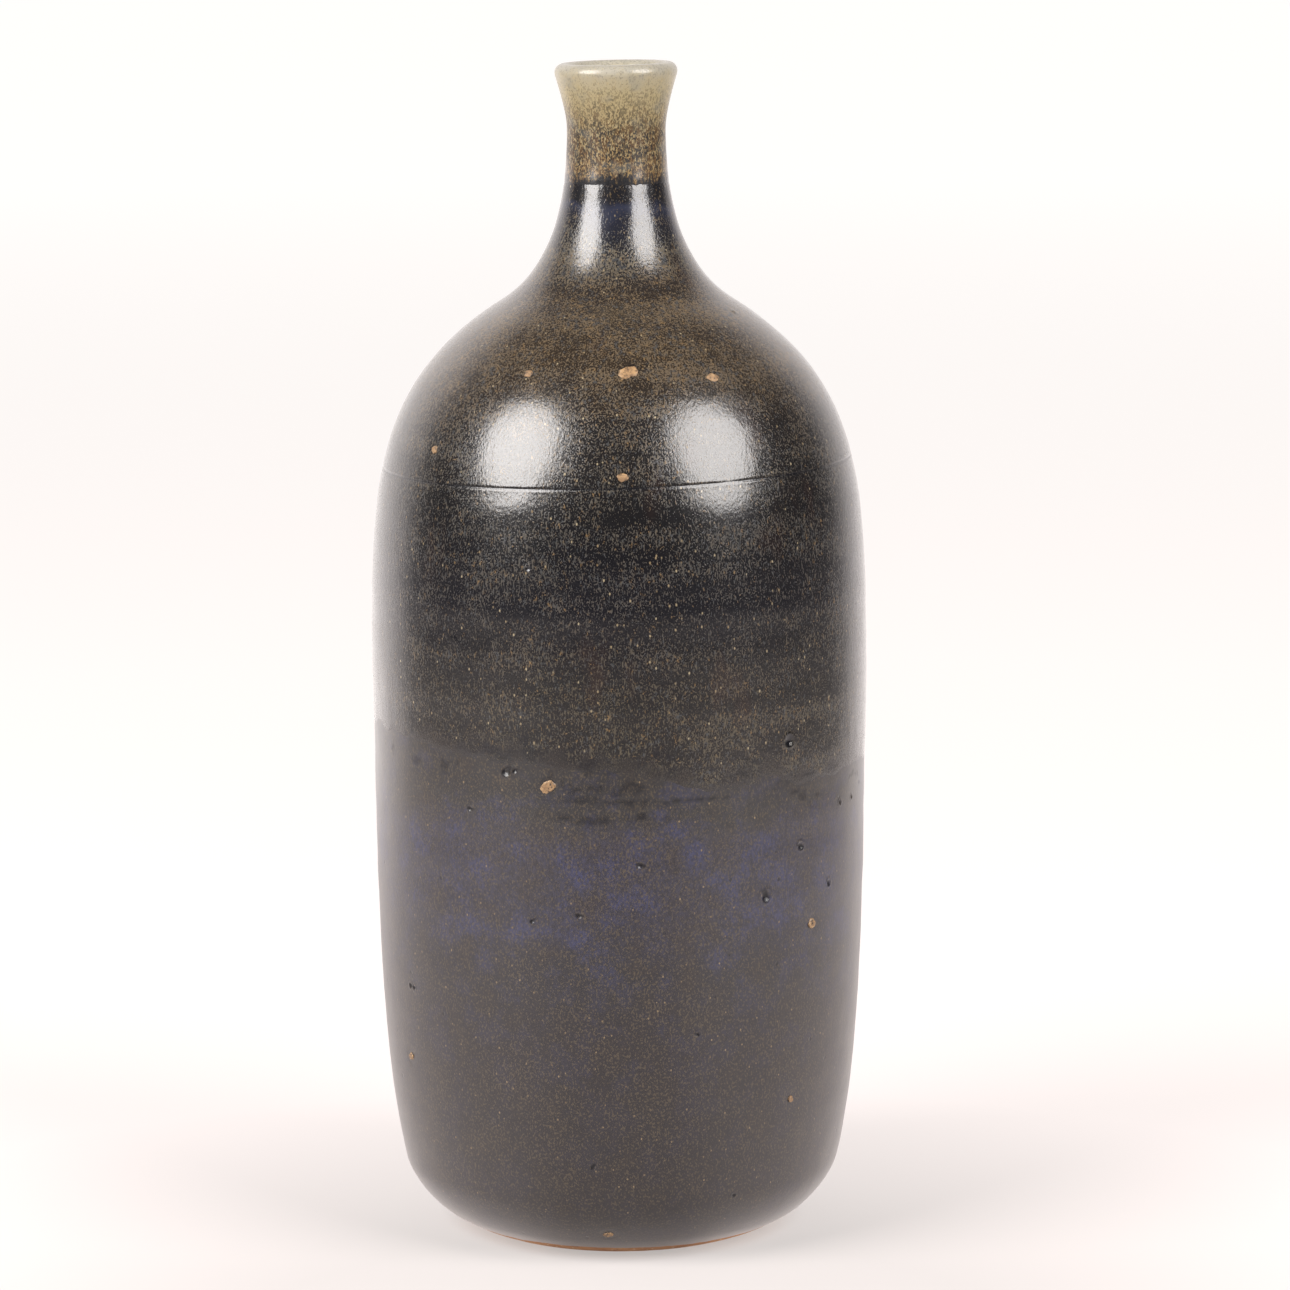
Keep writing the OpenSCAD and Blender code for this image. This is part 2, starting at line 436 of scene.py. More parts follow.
# each pit is its turn in degrees, height, radius and depth
pits = [[-116.2, 128.6, 1.5, 0.55], [-114.0, 128.9, 0.9, 0.4], [-85.2, 105.8, 1.1, 0.4],
        [-54.5, 95.4, 1.6, 0.5], [-99.2, 93, 1.0, 0.35], [-44, 106.6, 1.2, 0.4], [-33, 95.2, 1.0, 0.4],
        [-126, 118, 0.9, 0.3],
        [-149.2, 68.5, 0.9, 0.4], [-147.6, 68.3, 0.8, 0.35], [-48, 134, 1.6, 0.4], [-28, 115, 0.9, 0.4],
        [-21, 115, 0.8, 0.35], [-110.5, 179.3, 0.8, 0.3], [-110.2, 91.2, 0.9, 0.3], [-72, 62, 0.8, 0.3],
        [-97, 28, 0.9, 0.3], [-60, 18, 0.8, 0.25]]
pimples = [[-25.2, 237.2, 0.9, 0.3], [-130, 160, 0.7, 0.12], [-64, 148, 0.6, 0.1]]

# dark pools and dashes where the overglaze ends, and painted shade over two crumbs: turn, height, half width
# and half height
poolsAndShade = [[-109, 134.3, 7.5, 0.4], [-98, 134.6, 6.5, 0.35], [-97, 130.6, 3.4, 1.6], [-92.5, 128.8, 2.2, 0.9],
         [-99, 122.2, 6, 0.9], [-88, 121.5, 7, 0.8], [-72, 121.8, 7, 0.7], [-50, 123.5, 2.6, 1.1],
         [-41, 124.4, 3.2, 0.9], [-33, 124.8, 2.8, 0.7], [-60.8, 127.4, 2.4, 1.5], [-45, 120.8, 3, 0.8],
         [-103, 117.6, 2.2, 0.9], [-96, 116.7, 4.6, 1.0], [-85.5, 118.0, 2.9, 1.2], [-79, 117, 2.4, 0.7],
         # the first two here are painted shade slits just above the crumbs at -86 and -60.3 degrees
         [-85.2, 227.6, 1.7, 0.3], [-60.8, 225.4, 0.9, 0.3], [20, 124, 6, 0.8], [47, 121, 4, 1.2],
         [82, 126, 7, 0.5], [110, 119, 4, 1], [138, 123, 5, 0.8], [168, 127, 6, 0.6]]

# each grog crumb is its turn, height, width, length up the wall and lean in degrees
crumbs = [[-86, 225.6, 5.4, 3.4, 12], [-60.3, 223.8, 3.4, 2.6, -20], [-117.8, 225, 1.9, 2.4, 10],
          [-88.8, 201.6, 3.0, 2.2, 0], [-141.8, 205.7, 2.2, 1.9, 0], [-106.2, 125.2, 4.0, 3.2, 30],
          [-39.5, 86, 2.8, 2.4, 0], [-151.8, 49.5, 2.6, 2.0, 15], [-44.5, 41.1, 2.0, 1.8, 0],
          [-93.8, 8.6, 2.8, 1.8, 10], [24, 216, 2.8, 2.4, 0], [71, 231, 3.6, 2.8, 25],
          [112, 178, 2.6, 2.2, 0], [148, 101, 3.4, 2.6, 40], [83, 64, 2.3, 1.9, 0]]

chance = random.Random(11)
for count in range(26):            # the side away from the front has its own small pits
    turn, height = chance.uniform(10, 170), chance.uniform(20, 185)
    pits.append([turn, height, chance.uniform(0.6, 1.3), chance.uniform(0.2, 0.42)])

dents = [[spot(turn, height), radius, -depth] for turn, height, radius, depth in pits]
dents += [[spot(turn, height), radius, depth] for turn, height, radius, depth in pimples]
seats = [[spot(turn, height), max(width, length) / 2] for turn, height, width, length, lean in crumbs]


bandHeight = 6


def bandOf(height):
    return int(height // bandHeight)


def byBand(places):                # so that each point of a coat looks only at what is near its height
    bands = {}
    for place in places:
        middle = bandOf(place[0].z)
        for band in (middle - 1, middle, middle + 1):
            bands.setdefault(band, []).append(place)
    return bands


dentBands = byBand(dents)
poolAndShadeBands = byBand([[spot(turn, height), width, tall] for turn, height, width, tall in poolsAndShade])
seatBands = byBand(seats)


def seamAt(place, radius):         # how strong the joint line is, and how many widths above it a place is
    if not 190 < place.z < 208:
        return 0.0, math.inf
    off = (place.z - jointHeight - marks["seamTilt"] * place.x / radius) / marks["seamWidth"]
    patchy = smooth(noise.noise(Vector((place.x * 0.09, place.y * 0.09, 5.0))) + 0.5, -0.1, 0.3)
    return patchy * math.exp(-off * off), off


def darkGlazeAndShadeAt(place):               # 0 to 1 where the glaze is dark in the joint line or in a pool, with painted shade in a pit or over a crumb
    dark = seamAt(place, math.hypot(place.x, place.y))[0]
    # painted shade: each pit's crater is darkened, unevenly round its middle
    for middle, size, depth in dentBands.get(bandOf(place.z), ()):
        far = (place - middle).length / size
        if depth < 0 and far < 1.3:
            way = math.atan2(place.z - middle.z, place.x - middle.x)
            lopsided = 1 + 0.35 * math.sin(way * 2 + middle.z)
            dark = max(dark, 1 - smooth(far * lopsided, 0.55, 1.05))
    # dark pools of glaze, and the painted shade slits above two crumbs
    for middle, width, tall in poolAndShadeBands.get(bandOf(place.z), ()):
        across = Vector((place.x - middle.x, place.y - middle.y)).length / width
        if across < 1.8:
            off = math.hypot(across, (place.z - middle.z) / tall) + 0.9 * noise.noise(place / 1.6)
            dark = max(dark, 0.72 - 0.72 * smooth(off, 0.1, 1.5))
    return dark


def relief(place):                 # place in millimetres on the clay, gives millimetres outwards
    x, y, z = place
    rings = noise.noise(Vector((x * 0.006, y * 0.006, z / marks["ringGap"])))
    sway = noise.noise(place / marks["swaySize"] + Vector((7, 3, 1)))
    peel = noise.noise(place / marks["peelSize"]) + 0.5 * noise.noise(place / marks["peelSize"] * 2.3)
    body = smooth(z, 2, 10) * (1 - 0.7 * smooth(z, 250, 270))
    rise = body * (marks["ringDepth"] * rings + marks["swayDepth"] * sway) + marks["peelDepth"] * peel
    seam, off = seamAt(place, math.hypot(x, y))
    rise -= marks["seamDepth"] * seam
    rise += marks["seamLip"] * math.exp(-((off + 2.2) / 1.5) ** 2)
    for middle, size, depth in dentBands.get(bandOf(z), ()):
        far = (place - middle).length / size
        if far < 1.6:
            rise += depth * max(0.0, 1 - far * far) ** 1.5
            rise += marks["pitLip"] * math.exp(-((far - 1.15) / 0.22) ** 2)
    for middle, size in seatBands.get(bandOf(z), ()):
        far = (place - middle).length / size
        if far < 2:
            rise -= marks["moat"] * math.exp(-((far - 1.2) / 0.25) ** 2)
    return rise - marks["room"]


# ---- turning a section into a shell ----

def turned(section, columns):      # section is a closed list of [point, facing, share of the relief]
    shell = bmesh.new()
    facing = shell.verts.layers.float_vector.new("facing")
    chain = []
    for point, way, share in section:
        vert = shell.verts.new((point.x * mm, 0, point.y * mm))
        vert[facing] = (way.x, way.y, share)
        chain.append(vert)
    edges = [shell.edges.new(pair) for pair in zip(chain, chain[1:] + chain[:1])]
    bmesh.ops.spin(shell, geom=chain + edges, axis=(0, 0, 1), cent=(0, 0, 0),
                   angle=2 * math.pi, steps=columns, use_merge=True)
    return shell


def refine(shell, reach):          # finer mesh round each pit and pimple
    facing = shell.verts.layers.float_vector["facing"]
    near = set()
    for vert in shell.verts:
        if vert[facing][2] > 0.5:
            place = vert.co / mm
            for middle, size, depth in dentBands.get(bandOf(place.z), ()):
                if (place - middle).length < size * reach + 0.9:
                    near.add(vert)
    edges = [edge for edge in shell.edges if edge.verts[0] in near and edge.verts[1] in near]
    bmesh.ops.subdivide_edges(shell, edges=edges, cuts=3, use_grid_fill=True)


def glaze(shell, build):           # moves the outer points out by build(place) and notes the coat
    facing = shell.verts.layers.float_vector["facing"]
    coat = shell.verts.layers.float.new("coat")
    darkGlazeAndShade = shell.verts.layers.float.new("darkGlazeAndShade")
    for vert in shell.verts:
        way = vert[facing]
        place = vert.co / mm
        vert[coat] = edgeAt(place)
        vert[darkGlazeAndShade] = darkGlazeAndShadeAt(place) if way[2] > 0 else 0.0
        if way[2] > 0:
            out = Vector((place.x, place.y, 0)).normalized() * way[0] + Vector((0, 0, way[1]))
            vert.co += out * build(place) * way[2] * mm


def keep(name, shell, finish, slot, *replaced):
    bmesh.ops.recalc_face_normals(shell, faces=shell.faces)
    mesh = bpy.data.meshes.new(name)
    shell.to_mesh(mesh)
    shell.free()
    mesh.materials.append(finish)
    mesh.polygons.foreach_set("use_smooth", [True] * len(mesh.polygons))
    piece = bpy.data.objects.new(name, mesh)
    scene.collection.objects.link(piece)
    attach(piece, "root")
    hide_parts(*replaced)
    print(name, sum(len(face.vertices) - 2 for face in mesh.polygons), "triangles")
    return piece


# ---- glaze coats ----

coats = {
    "columns": 400,          # round the vase
    "fineTop": 141,          # the base glaze has coarse rows above this, where the overglaze covers it
    "baseGap": 1.04,         # height of a row of the base glaze, and nearer the foot
    "footGap": 0.62,
    "overGap": 1.15,         # height of a row of the overglaze, near its edge, and at the joint line
    "edgeGap": 0.95,
    "seamGap": 0.24,
    "seamRows": [196.6, 201.2],
    "neckColumns": 280,
    "linerColumns": 160,
    "baseDepth": 0.45,
    "overDepth": 0.4,
    "seat": -0.3,            # the back of the base glaze lies this far into the clay
    "sink": 0.13,            # how far the overglaze is under the base glaze below its edge
    "edgeHeight": 127.0,     # of the overglaze
    "edgeSlant": 5.0,        # it is higher on the left
    "edgeWander": 4.0,
    "edgeFade": 9.0,
}


def edgeAt(place):                 # how far a place is above the overglaze's ragged edge, in millimetres
    x, y, z = place
    slant = -coats["edgeSlant"] * x / bellyRadius
    around = Vector((x, y, 0))
    wander = noise.noise(around / 24 + Vector((0, 0, 3)))
    wander += 0.45 * noise.noise(around / 8 + Vector((0, 0, 9)))
    ragged = 0.9 * noise.noise(Vector((x / 2.6, y / 2.6, z / 7)))
    return max(-30.0, min(40.0, z - coats["edgeHeight"] - slant - coats["edgeWander"] * wander - ragged))


def overBuild(place):              # thickness of overglaze on the base glaze
    above = edgeAt(place)
    full = coats["overDepth"] * (0.12 + 0.88 * smooth(above, 0, coats["edgeFade"] * 2))
    rise = smooth(above, -0.8, 2.5)
    return -coats["sink"] + (full + coats["sink"]) * rise


def neckLineAt(place):             # the ragged end of the neck's glaze
    return neckLine - 0.2 + 0.35 * noise.noise(Vector((place.x / 1.1, place.y / 1.1, 4)))


def overShape(place):
    line = neckLineAt(place)
    return relief(place) + overBuild(place) - 0.28 * smooth(place.z, line - 2, line + 2.4)


def neckShape(place):              # how far outwards and how far up
    line = neckLineAt(place)
    full = smooth(place.z, line - 3, line + 1.6)
    tilt = form["lipTilt"] * (place.x / 15 - 1.15) * smooth(place.z, 284, 299)
    return relief(place) + 0.14 + (full - 1) * 0.3, tilt


def makeBaseGlaze(finish):
    low, high = lowest("base_glaze") + 0.45, neckLine
    dense = between(outside, low, coats["fineTop"])
    thin = between(outside, coats["fineTop"] + 0.001, high - 1)
    section = layer(dense, lambda z: coats["footGap"] if z < 16 else coats["baseGap"],
                    lambda z: coats["baseDepth"] * smooth(z, low - 0.8, low + 4.2))
    section += layer(thin, lambda z: 5, coats["baseDepth"] - 0.25, 0.6)
    section += layer(between(outside, low, high - 1), lambda z: 7, coats["seat"], 0.0)[::-1]
    shell = turned(section, coats["columns"])
    refine(shell, marks["pitReach"])
    glaze(shell, relief)
    keep("baseGlaze", shell, finish, "blue_glaze", "base_glaze")


def makeOverglaze(finish):
    low, high = lowest("overglaze") - 8, neckLine + 2.5

    def gap(z):
        if coats["seamRows"][0] < z < coats["seamRows"][1]:
            return coats["seamGap"]
        return coats["edgeGap"] if z < 150 else coats["overGap"]

    section = layer(between(outside, low, high), gap, coats["baseDepth"])
    section += layer(between(outside, low, high), lambda z: 8, 0.02, 0.0)[::-1]
    shell = turned(section, coats["columns"] - 20)
    refine(shell, marks["pitReach"])
    glaze(shell, overShape)
    keep("speckledOverglaze", shell, finish, "speckled_glaze", "overglaze")


def makeNeckGlaze(finish):
    low, turnIn = neckLine - 3, highest("liner_glaze")
    outer = between(outside, low, 400)
    inner = between(inside, turnIn, 400)[::-1]
    section = layer(outer + inner[1:], lambda z: 0.42, 0.7)
    section += layer(outer + inner[1:], lambda z: 2.5, 0.05, 0.0)[::-1]
    shell = turned(section, coats["neckColumns"])
    facing = shell.verts.layers.float_vector["facing"]
    for vert in shell.verts:
        way = vert[facing]
        place = vert.co / mm
        rise, tilt = neckShape(place)
        around = Vector((place.x, place.y, 0)).normalized()
        if way[2] > 0:
            vert.co += (around * way[0] + Vector((0, 0, way[1]))) * rise * mm
        vert.co.z += tilt * mm
    keep("neckGlaze", shell, finish, "pale_glaze", "neck_glaze")


def makeLinerGlaze(finish):
    line = between(inside, 0, 291)

    def rings(z):
        return 0.5 + 0.3 * math.sin(z / 2.4) * smooth(z, 30, 60) * (1 - smooth(z, 215, 250))

    section = layer(line, lambda z: 0.9, rings, 0.0, -1)
    section += layer(line, lambda z: 7, 0.0, 0.0, -1)[::-1]
    shell = turned(section, coats["linerColumns"])
    bmesh.ops.remove_doubles(shell, verts=shell.verts, dist=1e-6)
    keep("linerGlaze", shell, finish, "liner", "liner_glaze")


# ---- bare clay and grog ----

foot = {
    "columns": 240,
    "ring": 6.5,
    "recess": 3.5,
    "edge": 0.5,             # the sponged edges of the foot ring
    "toolGap": 1.7,          # the turning tool's grooves under the foot
    "toolDepth": 0.12,
}


def makeLowerBody(finish):
    radius = form["outside"][0][0]
    ring = radius - foot["ring"]
    edge = foot["edge"]
    recess = foot["recess"]
    under = [Vector(point) for point in (
        (0, recess), (ring - 2.2, recess), (ring - 0.8, recess - 0.4), (ring - 0.35, recess - 1.3),
        (ring - 0.1, edge), (ring + edge, 0), (radius - edge, 0), (radius + 0.25, 0.12))]

    def grooves(point, way, share):
        swirl = 0
        if point.x < ring - 2:
            swirl = foot["toolDepth"] * math.cos(point.x / foot["toolGap"] * 2 * math.pi)
        return [point + Vector((0, abs(swirl))), way, share]

    section = [grooves(*row) for row in layer(under, lambda z: 0.35, 0.0)]
    section += layer(between(outside, 0.15, jointHeight - 0.4), lambda z: 0.6 if z < 9 else 4,
                     lambda z: -0.02 - 0.3 * smooth(z, 5, 9))
    section += layer(between(inside, 0, jointHeight - 0.4), lambda z: 4, 0.0, 0.0, -1)[::-1]
    for row in section:
        row[2] = 0.0
    shell = turned(section, foot["columns"])
    bmesh.ops.remove_doubles(shell, verts=shell.verts, dist=1e-6)
    for vert in shell.verts:
        x, y, z = vert.co / mm
        if z < 5:
            wear = noise.noise(Vector((x, y, z)) / 3) * 0.06 + noise.noise(Vector((x, y, z)) / 12) * 0.08
            vert.co.z += max(0.0, wear) * mm
    keep("lowerBody", shell, finish, "clay", "lower_body")


def makeCrumbs(finish):
    lumps = bmesh.new()
    for number, (turn, height, width, length, lean) in enumerate(crumbs):
        middle = spot(turn, height)
        below, above = pointAt(outside, height - 1), pointAt(outside, height + 1)
        way = facings([below, pointAt(outside, height), above])[1]
        angle = math.radians(turn)
        out = Vector((math.cos(angle) * way.x, math.sin(angle) * way.x, way.y))
        across = Vector((-math.sin(angle), math.cos(angle), 0))
        made = bmesh.ops.create_icosphere(lumps, subdivisions=4, radius=1)["verts"]
        for vert in made:
            rough = 1 + 0.3 * noise.noise(vert.co * 1.3 + Vector((number * 5, 0, 0)))
            rough += 0.12 * noise.noise(vert.co * 4 + Vector((0, number * 5, 0)))
            vert.co *= rough
            vert.co.z = min(vert.co.z, 0.62 + 0.05 * noise.noise(vert.co * 6))
        size = Matrix.Diagonal((width / 2, length / 2, 0.9, 1))
        turnTo = Matrix((across, out.cross(across), out)).transposed().to_4x4()
        over = coats["overDepth"] if edgeAt(middle) > 3 else 0
        depth = coats["baseDepth"] + over + 0.12 - marks["room"]
        lift = Matrix.Translation(middle + out * (depth - 0.44))
        spinTo = Matrix.Rotation(math.radians(lean), 4, "Z")
        bmesh.ops.transform(lumps, matrix=Matrix.Scale(mm, 4) @ lift @ turnTo @ spinTo @ size, verts=made)
    keep("grogCrumbs", lumps, finish, "grog", "grog_grains")


# ---- finishes ----

# share is how much of the surface they cover
def specks(tree, place, size, upright, share, soft=0.06, shift=0.0):
    grain = cloud(tree, stretched(tree, place, upright, shift), size, 1.0, 0.5)
    edge = minus(tree, 0.76, times(tree, share, 0.5))
    return remap(tree, minus(tree, grain, edge), -soft, soft)


def attribute(tree, name):
    return addNode(tree, "Attribute", {}, attribute_name=name).outputs["Fac"]


def speckledGlaze():
    finish, tree, shader, place = newFinish("speckledGlaze")
    level = levelOf(tree, place, 9)
    coat = attribute(tree, "coat")
    ground = byHeight(tree, level, [
        [122, swatch(24, 22, 21)], [150, swatch(19, 18, 19)], [170, swatch(15, 15, 20)],
        [195, swatch(20, 19, 20)], [212, swatch(24, 22, 22)], [228, swatch(37, 30, 23)],
        [244, swatch(34, 29, 26)], [252, swatch(27, 26, 27)], [258, swatch(27, 27, 31)],
        [261, swatch(27, 28, 35)], [263.5, swatch(37, 40, 54)], [266, swatch(23, 23, 26)]])
    dots = byHeight(tree, level, [
        [122, swatch(75, 69, 57)], [145, swatch(75, 68, 56)], [170, swatch(69, 65, 60)],
        [200, swatch(78, 73, 65)], [225, swatch(91, 79, 63)], [244, swatch(94, 81, 63)],
        [256, swatch(91, 85, 73)], [267, swatch(84, 69, 45)]])
    crowd = byHeight(tree, level, [
        [122, 0.28], [150, 0.26], [175, 0.22], [200, 0.24], [225, 0.33],
        [246, 0.34], [257, 0.32], [262, 0.12], [268, 0.06]])
    patches = times(tree, minus(tree, cloud(tree, place, 9, 3), 0.5), 0.45)
    bands = minus(tree, cloud(tree, stretched(tree, place, 1 / 12), 60, 3), 0.5)
    crowded = plus(tree, plus(tree, crowd, patches), times(tree, bands, 0.45))
    coarse = specks(tree, place, 0.46, 2.6, crowded, 0.08)
    fine = specks(tree, place, 0.32, 1.5, plus(tree, crowded, 0.05), 0.07, 0.2)
    speck = maths(tree, "MAXIMUM", times(tree, coarse, 0.85), times(tree, fine, 0.8))
    tone = cloud(tree, stretched(tree, place, 1.5, 0.4), 1.1, 2, 0.6)
    warm = blend(tree, remap(tree, tone, 0.58, 0.72), dots, swatch(109, 87, 57))
    warm = blend(tree, remap(tree, tone, 0.47, 0.37), warm, swatch(59, 60, 61))
    speckled = blend(tree, speck, ground, warm)
    streaks = cloud(tree, stretched(tree, place, 2.5, 1.7), 13, 3)
    rust = times(tree, remap(tree, streaks, 0.62, 0.76), 0.22)
    ragged = times(tree, remap(tree, cloud(tree, place, 5, 5, 0.7), 0.54, 0.60),
                   remap(tree, maths(tree, "ABSOLUTE", minus(tree, coat, 5.0)), 6.0, 2.0))
    speckled = blend(tree, times(tree, ragged, 0.8), speckled, swatch(15, 15, 20))
    speckled = blend(tree, rust, speckled, swatch(53, 33, 24))
    far, pick, hue = cells(tree, stretched(tree, place, 1.5), 1.6)
    cream = times(tree, remap(tree, far, 0.20, 0.08), remap(tree, pick, 0.72, 0.76))
    speckled = blend(tree, cream, speckled, blend(tree, hue, swatch(96, 79, 55), swatch(139, 128, 105)))
    uneven = remap(tree, cloud(tree, place, 7, 3), 0.4, 0.62)
    film = blend(tree, uneven, swatch(34, 31, 30), swatch(32, 31, 33))       # where the overglaze is thin
    film = blend(tree, times(tree, fine, 0.5), film, swatch(63, 57, 48))
    drift = times(tree, minus(tree, cloud(tree, place, 7, 6, 0.7), 0.5), 24)
    edge = plus(tree, coat, drift)
    banded = blend(tree, remap(tree, edge, 1.5, 7.5), film, speckled)
    line = times(tree, remap(tree, maths(tree, "ABSOLUTE", minus(tree, coat, 0.6)), 0.5, 0.15),
                 remap(tree, cloud(tree, place, 14, 2), 0.50, 0.56))         # along its edge
    # painted shade in the pits and over two crumbs, with the dark joint line and dark pools of glaze
    darkGlazeAndShade = times(tree, attribute(tree, "darkGlazeAndShade"), 0.92)
    dark = maths(tree, "MAXIMUM", times(tree, line, 0.6), darkGlazeAndShade)
    colour = blend(tree, dark, banded, swatch(8, 9, 15))
    grain = plus(tree, times(tree, speck, 0.4), cloud(tree, stretched(tree, place, 1.6), 0.6, 1.5, 0.6))
    peel = bumped(tree, cloud(tree, stretched(tree, place, 1.3), 1.5, 2, 0.5), 0.036)
    setShader(tree, shader, {
        "Base Color": colour, "Roughness": remap(tree, speck, 0, 1, 0.26, 0.40),
        "Normal": bumped(tree, grain, 0.04), "IOR": 1.5, "Specular IOR Level": 0.12, "Coat Weight": 1.0,
        "Coat Roughness": 0.155, "Coat IOR": 1.5, "Coat Normal": bumped(tree, grain, 0.034, 1.0, peel)})
    return finish


def blueGlaze():
    finish, tree, shader, place = newFinish("blueGlaze")
    level = levelOf(tree, place, 10)
    ground = byHeight(tree, level, [
        [0, swatch(66, 50, 36)], [5, swatch(45, 39, 34)], [9, swatch(33, 28, 28)],
        [30, swatch(31, 26, 27)], [60, swatch(30, 25, 27)], [78, swatch(33, 31, 36)],
        [92, swatch(40, 39, 52)], [110, swatch(45, 43, 54)], [118, swatch(42, 40, 40)],
        [124, swatch(35, 33, 33)]])
    blotch = cloud(tree, place, 9, 5, 0.62)
    bluer = byHeight(tree, level, [[40, 0.12], [74, 0.3], [88, 0.95], [112, 0.95], [124, 0.35]])
    blue = times(tree, remap(tree, blotch, 0.48, 0.64), bluer)
    brown = times(tree, remap(tree, blotch, 0.48, 0.34), 0.5)
    colour = blend(tree, blue, ground, swatch(44, 46, 72))
    colour = blend(tree, brown, colour, swatch(45, 37, 30))
    fine = cloud(tree, stretched(tree, place, 2.0), 0.7, 3, 0.7)
    colour = blend(tree, times(tree, remap(tree, fine, 0.40, 0.62), 0.6), colour, swatch(24, 22, 26))
    crowd = plus(tree, 0.22, times(tree, cloud(tree, place, 12, 2), 0.24))
    tan = specks(tree, place, 0.42, 1.4, crowd, 0.06, 0.3)
    colour = blend(tree, times(tree, tan, 0.6), colour, swatch(76, 66, 51))
    far, pick, hue = cells(tree, stretched(tree, place, 1.3), 1.9)
    dot = times(tree, remap(tree, far, 0.15, 0.07), remap(tree, pick, 0.55, 0.60))
    colour = blend(tree, dot, colour, blend(tree, hue, swatch(81, 66, 49), swatch(117, 100, 76)))
    farDark, pickDark = cells(tree, stretched(tree, place, 1.2, 2.3), 4)[:2]
    dark = times(tree, remap(tree, farDark, 0.14, 0.06), remap(tree, pickDark, 0.72, 0.76))
    colour = blend(tree, times(tree, dark, 0.8), colour, swatch(14, 14, 19))
    coat = attribute(tree, "coat")
    ragged = plus(tree, coat, times(tree, minus(tree, cloud(tree, place, 9, 4, 0.6), 0.5), 14))
    scallop = times(tree, remap(tree, maths(tree, "ABSOLUTE", plus(tree, ragged, 3.0)), 2.2, 0.2),
                    remap(tree, cloud(tree, place, 8, 3), 0.53, 0.60))
    # painted shade in the pits, with the dark joint line and dark pools of glaze
    pooledAndShade = times(tree, attribute(tree, "darkGlazeAndShade"), 0.95)
    darkGlazeAndShade = maths(tree, "MAXIMUM", times(tree, scallop, 0.5), pooledAndShade)
    colour = blend(tree, darkGlazeAndShade, colour, swatch(11, 11, 17))
    grain = plus(tree, cloud(tree, place, 0.8, 3, 0.6), times(tree, dark, -2.0))
    normal = bumped(tree, grain, 0.025)
    setShader(tree, shader, {
        "Base Color": colour, "Roughness": remap(tree, blotch, 0.3, 0.7, 0.38, 0.44), "Normal": normal,
        "IOR": 1.5, "Specular IOR Level": 0.25, "Coat Weight": remap(tree, darkGlazeAndShade, 0, 1, 1.0, 0.4),
        "Coat Roughness": 0.29, "Coat IOR": 1.5, "Coat Normal": normal})
    return finish


def ashGlaze():
    finish, tree, shader, place = newFinish("ashGlaze")
    level = levelOf(tree, place, 2.5, 4)
    ground = byHeight(tree, level, [
        [268, swatch(111, 88, 56)], [271, swatch(119, 97, 63)], [276, swatch(121, 101, 69)],
        [283, swatch(125, 109, 78)], [288, swatch(135, 121, 88)], [292, swatch(143, 131, 99)],
        [296, swatch(147, 138, 113)], [299, swatch(143, 139, 127)]])
    crowd = byHeight(tree, level, [
        [268, 0.60], [271, 0.50], [278, 0.56], [284, 0.54], [288, 0.44], [292, 0.36], [296, 0.26]])
    fine = specks(tree, place, 0.38, 1.5, crowd, 0.05)
    coarse = specks(tree, place, 0.56, 1.8, crowd, 0.05, 0.3)
    tone = cloud(tree, stretched(tree, place, 2.0, 0.2), 1.2, 2, 0.6)
    dark = blend(tree, remap(tree, tone, 0.45, 0.62), swatch(22, 21, 24), swatch(59, 39, 22))
    paleness = byHeight(tree, level, [[282, 0.95], [289, 0.6], [296, 0.3]])
    speck = times(tree, maths(tree, "MAXIMUM", fine, times(tree, coarse, 0.8)), paleness)
    colour = blend(tree, speck, ground, dark)
    paleCrowd = byHeight(tree, level, [[268, 0.05], [274, 0.26], [290, 0.34], [298, 0.15]])
    light = specks(tree, place, 0.5, 2.2, paleCrowd, 0.05, 0.7)
    colour = blend(tree, times(tree, light, 0.5), colour, swatch(153, 139, 105))
    cool = times(tree, remap(tree, cloud(tree, place, 6, 3), 0.52, 0.68), 0.3)
    colour = blend(tree, cool, colour, swatch(105, 107, 103))
    rough = times(tree, minus(tree, cloud(tree, stretched(tree, place, 2.2), 0.7, 2), 0.5), 9 / vaseTop)
    ending = remap(tree, plus(tree, level, rough), (neckLine + 0.4) / vaseTop, (neckLine + 2.4) / vaseTop)
    colour = blend(tree, ending, swatch(21, 21, 24), colour)
    normal = bumped(tree, fine, 0.02)
    setShader(tree, shader, {
        "Base Color": colour, "Roughness": remap(tree, speck, 0, 1, 0.30, 0.42), "Normal": normal,
        "IOR": 1.5, "Specular IOR Level": 0.25, "Coat Roughness": 0.16, "Coat IOR": 1.5,
        "Coat Weight": remap(tree, level, 272 / vaseTop, 278 / vaseTop, 1.0, 0.3)})
    return finish


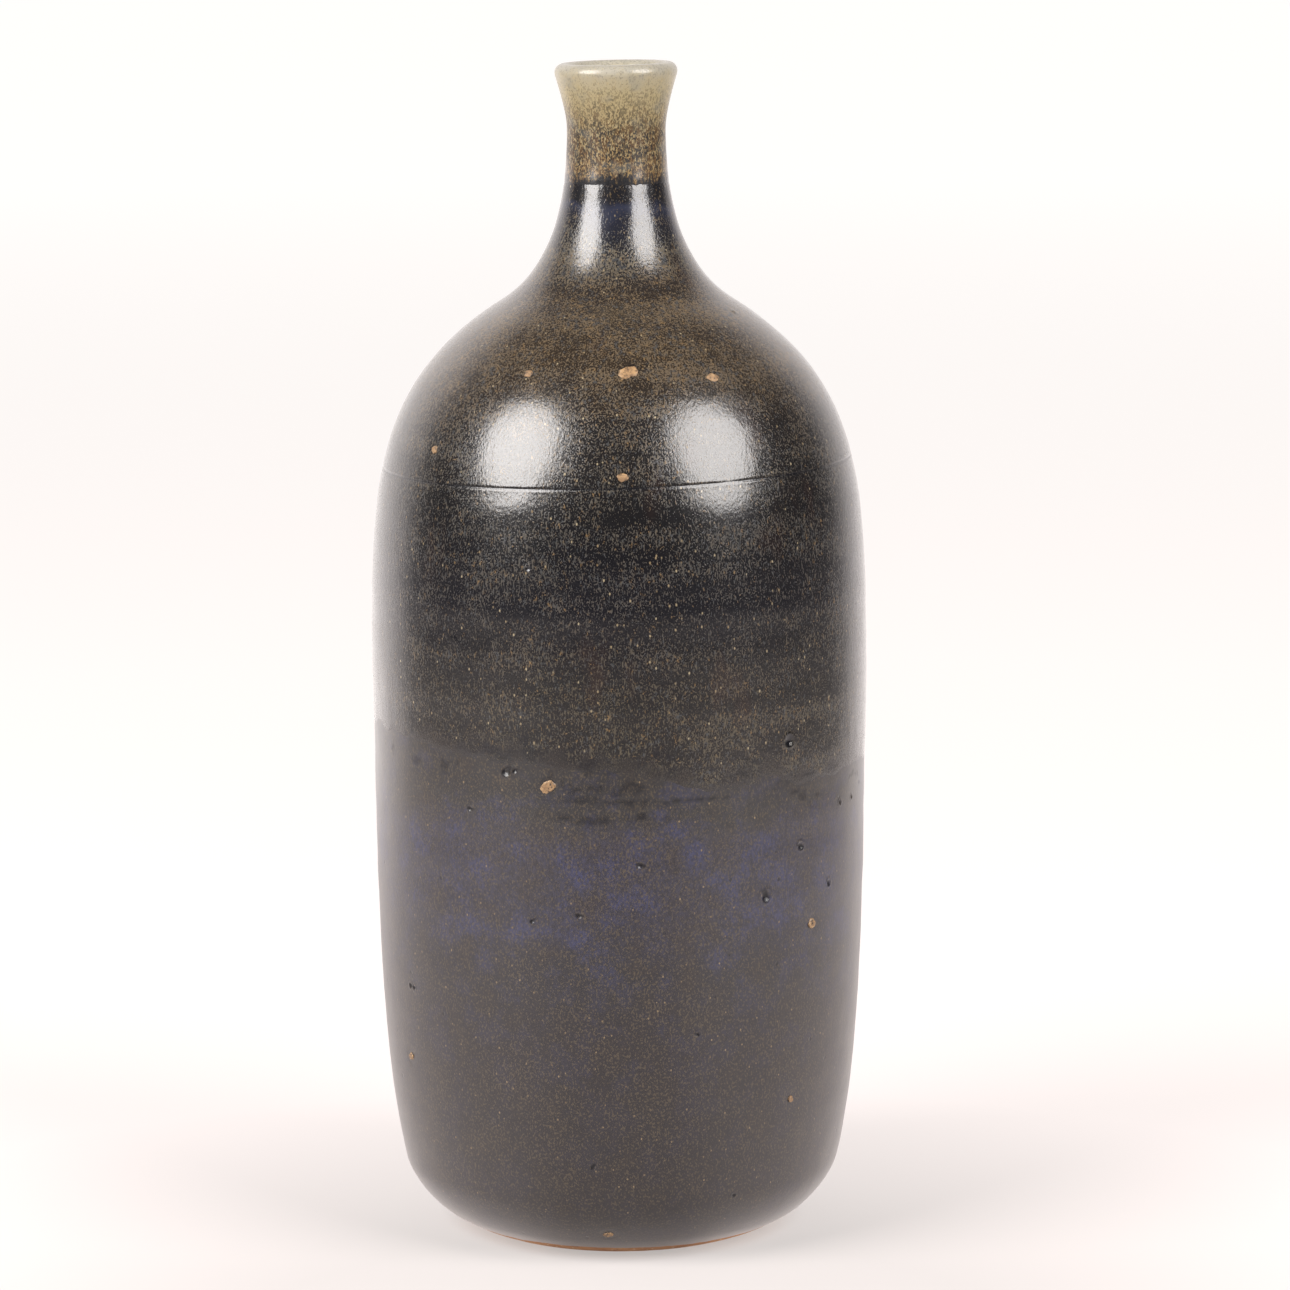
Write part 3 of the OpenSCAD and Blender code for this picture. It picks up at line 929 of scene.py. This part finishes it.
def linerFinish():
    finish, tree, shader, place = newFinish("linerFinish")
    level = levelOf(tree, place, 8)
    colour = byHeight(tree, level, [
        [0, swatch(84, 86, 92)], [60, swatch(96, 98, 104)], [230, swatch(110, 112, 116)],
        [270, swatch(126, 128, 130)], [292, swatch(142, 142, 138)]])
    colour = blend(tree, remap(tree, cloud(tree, place, 0.9, 3), 0.5, 0.75), colour, swatch(70, 66, 62))
    setShader(tree, shader, {
        "Base Color": colour, "Roughness": 0.3, "Normal": bumped(tree, cloud(tree, place, 1.2, 3), 0.03),
        "Coat Weight": 0.6, "Coat Roughness": 0.15})
    return finish


def bareClay(name, light, dark):
    finish, tree, shader, place = newFinish(name)
    colour = blend(tree, remap(tree, cloud(tree, place, 7, 4, 0.6), 0.35, 0.68), light, dark)
    far, pick, hue = cells(tree, place, 1.1)
    sand = times(tree, remap(tree, far, 0.35, 0.2), remap(tree, pick, 0.6, 0.65))
    colour = blend(tree, sand, colour, blend(tree, hue, swatch(96, 66, 44), swatch(226, 206, 176)))
    grain = plus(tree, cloud(tree, place, 0.5, 4, 0.7), times(tree, sand, 0.6))
    setShader(tree, shader, {
        "Base Color": colour, "Roughness": remap(tree, grain, 0.3, 1.2, 0.75, 0.95),
        "Normal": bumped(tree, grain, 0.12), "Specular IOR Level": 0.3})
    return finish


def grogFinish():
    finish, tree, shader, place = newFinish("toastedGrog")
    toast = remap(tree, cloud(tree, place, 1.3, 4, 0.65), 0.35, 0.65)
    colour = blend(tree, toast, swatch(112, 86, 59), swatch(151, 121, 85))
    cracks = remap(tree, cloud(tree, place, 0.6, 3, 0.7), 0.52, 0.66)
    colour = blend(tree, cracks, colour, swatch(35, 26, 20))
    setShader(tree, shader, {
        "Base Color": colour, "Roughness": 0.5, "Normal": bumped(tree, cloud(tree, place, 0.4, 3), 0.06),
        "Coat Weight": 0.3, "Coat Roughness": 0.25})
    return finish


def dressNode(name, finish):
    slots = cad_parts[name].data.materials
    slots.clear()
    slots.append(finish)


clay = bareClay("firedClay", swatch(176, 132, 92), swatch(150, 104, 68))
slip = bareClay("jointSlip", swatch(188, 150, 112), swatch(164, 124, 88))
makeLowerBody(clay)
for name in ("shoulder", "neck"):
    dressNode(name, clay)
for name in ("body_slip", "neck_slip"):
    dressNode(name, slip)
print("clay")
makeBaseGlaze(blueGlaze())
makeOverglaze(speckledGlaze())
makeNeckGlaze(ashGlaze())
makeLinerGlaze(linerFinish())
print("glazes")
makeCrumbs(grogFinish())
print("grog")

scene.view_settings.view_transform = "Standard"
